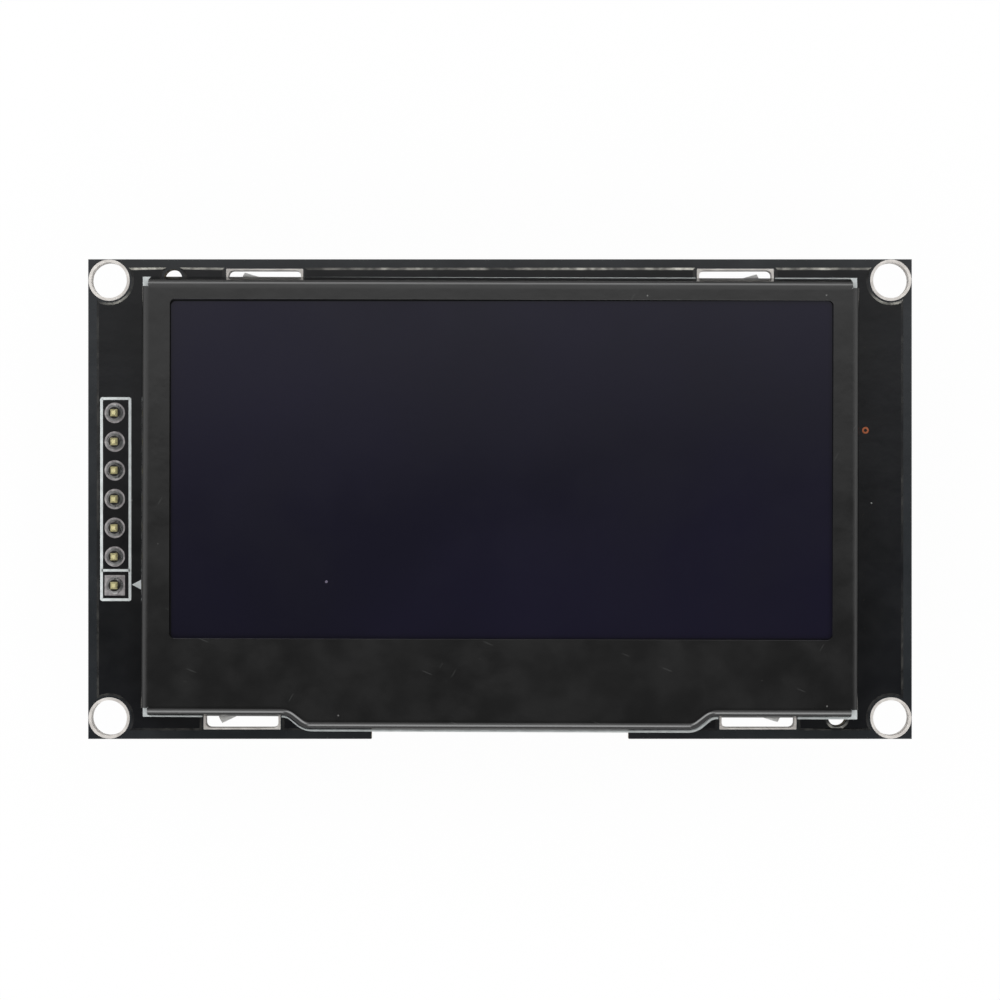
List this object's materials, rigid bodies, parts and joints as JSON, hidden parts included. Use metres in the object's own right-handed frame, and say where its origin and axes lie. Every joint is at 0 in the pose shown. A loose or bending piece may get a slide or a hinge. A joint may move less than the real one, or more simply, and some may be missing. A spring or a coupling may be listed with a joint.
{
  "type": "small oled display module",
  "caption": "Glass OLED panel in a folded black steel bezel, clamped by twisted tabs to a black circuit board with corner mounting holes and a row of header pins behind its left edge",
  "frame": {"origin": "Centre of the four mounting holes, on the board's front face", "axes": "+X runs along the board, to the right for someone who reads the screen; +Y runs up the screen; +Z points out of the screen"},
  "size_m": [0.0728, 0.0424, 0.0129],
  "materials": {
    "board": "black glossy solder mask on glass-fibre board",
    "bezel_paint": "semi-gloss black paint",
    "polariser_film": "glossy, very dark violet",
    "front_glass": "clear",
    "rear_glass": "clear, etched recess",
    "desiccant": "matt off-white sheet",
    "foam_tape": "matt black foam",
    "silicon": "polished silicon",
    "flex_film": "amber film over copper tracks",
    "solder": "dull tin",
    "header_plastic": "matt black",
    "pin_plating": "thin gold plating",
    "chip_plastic": "matt black moulding",
    "lead_tin": "tinned",
    "ferrite": "matt dark grey",
    "copper_wire": "enamelled copper",
    "capacitor_body": "tan",
    "resistor_body": "glossy black"
  },
  "bodies": {
    "root": {"circuit_board": "board", "bezel": "bezel_paint", "polariser": "polariser_film", "front_glass": "front_glass", "rear_glass": "rear_glass", "desiccant_sheet": "desiccant", "mounting_tape": "foam_tape", "driver_chip": "silicon", "flex_cable": "flex_film", "flex_solder": "solder", "header_strip": "header_plastic", "header_pins": "pin_plating", "header_solder": "solder", "boost_converter": "chip_plastic", "boost_converter_leads": "lead_tin", "voltage_regulator": "chip_plastic", "voltage_regulator_leads": "lead_tin", "schottky_diode": "chip_plastic", "schottky_diode_leads": "lead_tin", "inductor_core": "ferrite", "inductor_winding": "copper_wire", "capacitors": "capacitor_body", "capacitor_caps": "lead_tin", "resistors": "resistor_body", "resistor_caps": "lead_tin"}
  },
  "joints": []
}
